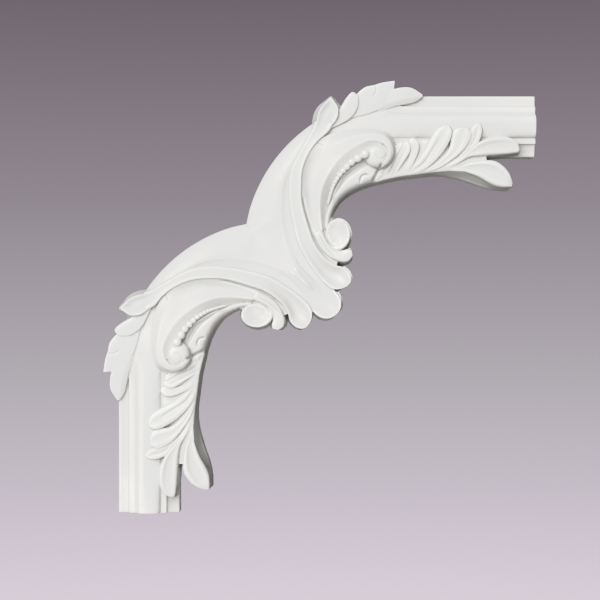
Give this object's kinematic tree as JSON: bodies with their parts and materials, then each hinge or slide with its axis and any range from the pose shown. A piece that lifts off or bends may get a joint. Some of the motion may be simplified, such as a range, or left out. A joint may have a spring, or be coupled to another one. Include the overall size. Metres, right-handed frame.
{
  "type": "moulding corner",
  "caption": "Ornate corner for a wall panel moulding: stepped profile arms joined by an ogee turn, with leafwork, C-scrolls, graduated beads and shell lobes.",
  "frame": {"origin": "on the flat back, on the corner's line of symmetry, midway between the outer notch and the tip lobe", "axes": "+X along the upper arm, -Z along the side arm, +Y into the wall, the relief towards -Y"},
  "size_m": [0.3555, 0.0293, 0.3555],
  "materials": {
    "primed_white": "white primer on dense polyurethane foam, matt"
  },
  "bodies": {
    "root": {"moulding_corner": "primed_white"}
  },
  "joints": []
}
